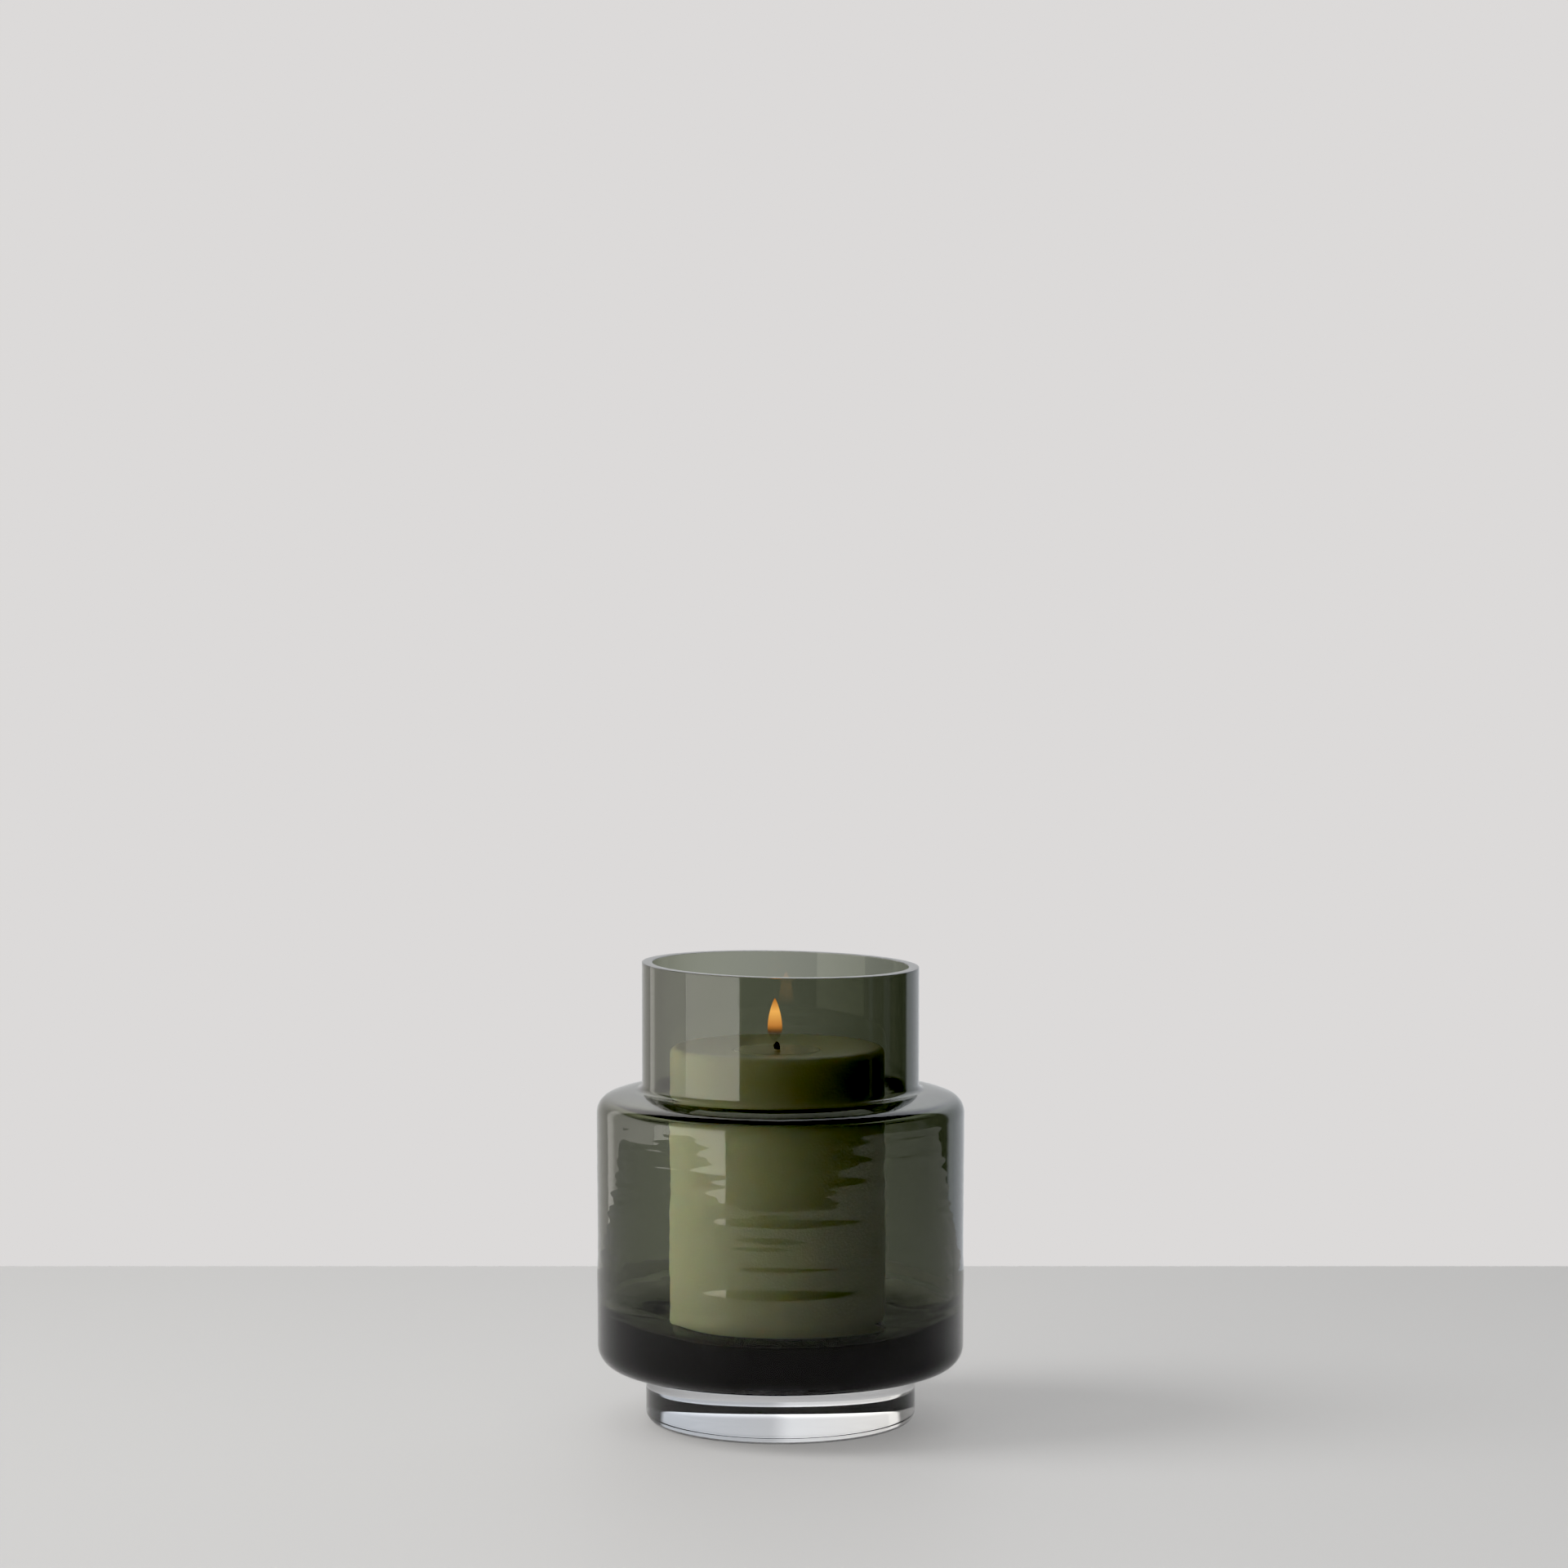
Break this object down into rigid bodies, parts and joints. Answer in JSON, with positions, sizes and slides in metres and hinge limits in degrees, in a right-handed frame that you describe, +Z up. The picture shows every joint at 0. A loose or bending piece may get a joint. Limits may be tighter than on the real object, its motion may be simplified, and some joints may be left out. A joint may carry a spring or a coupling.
{
  "type": "glass hurricane candle holder",
  "caption": "Smoked glass vessel with a domed shoulder, straight neck and thick base, fused to a clear solid foot, holding a loose pillar candle.",
  "frame": {"origin": "centre of the foot's flat base, on the surface that the holder stands on", "axes": "+Z up along the holder's axis, towards the rim; -Y is the front; the hand-cut rim is highest towards -X"},
  "size_m": [0.17, 0.17, 0.2124],
  "materials": {
    "smoked_glass": "polished, smoked olive grey, through-coloured",
    "clear_glass": "polished and clear",
    "wax": "satin off-white wax",
    "liquid_wax": "wet and glossy",
    "wick": "braided cotton, burnt black at its tip",
    "tinplate": "bright pressed tinplate"
  },
  "bodies": {
    "holder": {"glass_vessel": "smoked_glass", "clear_foot": "clear_glass"},
    "candle": {"pillar_candle": "wax", "melt_pool": "liquid_wax", "candle_wick": "wick", "wick_sustainer": "tinplate"}
  },
  "joints": [
    {"name": "candle_lift", "type": "slide", "parent": "holder", "child": "candle", "axis": [0, 0, 1], "range_m": [0, 0.185]}
  ]
}
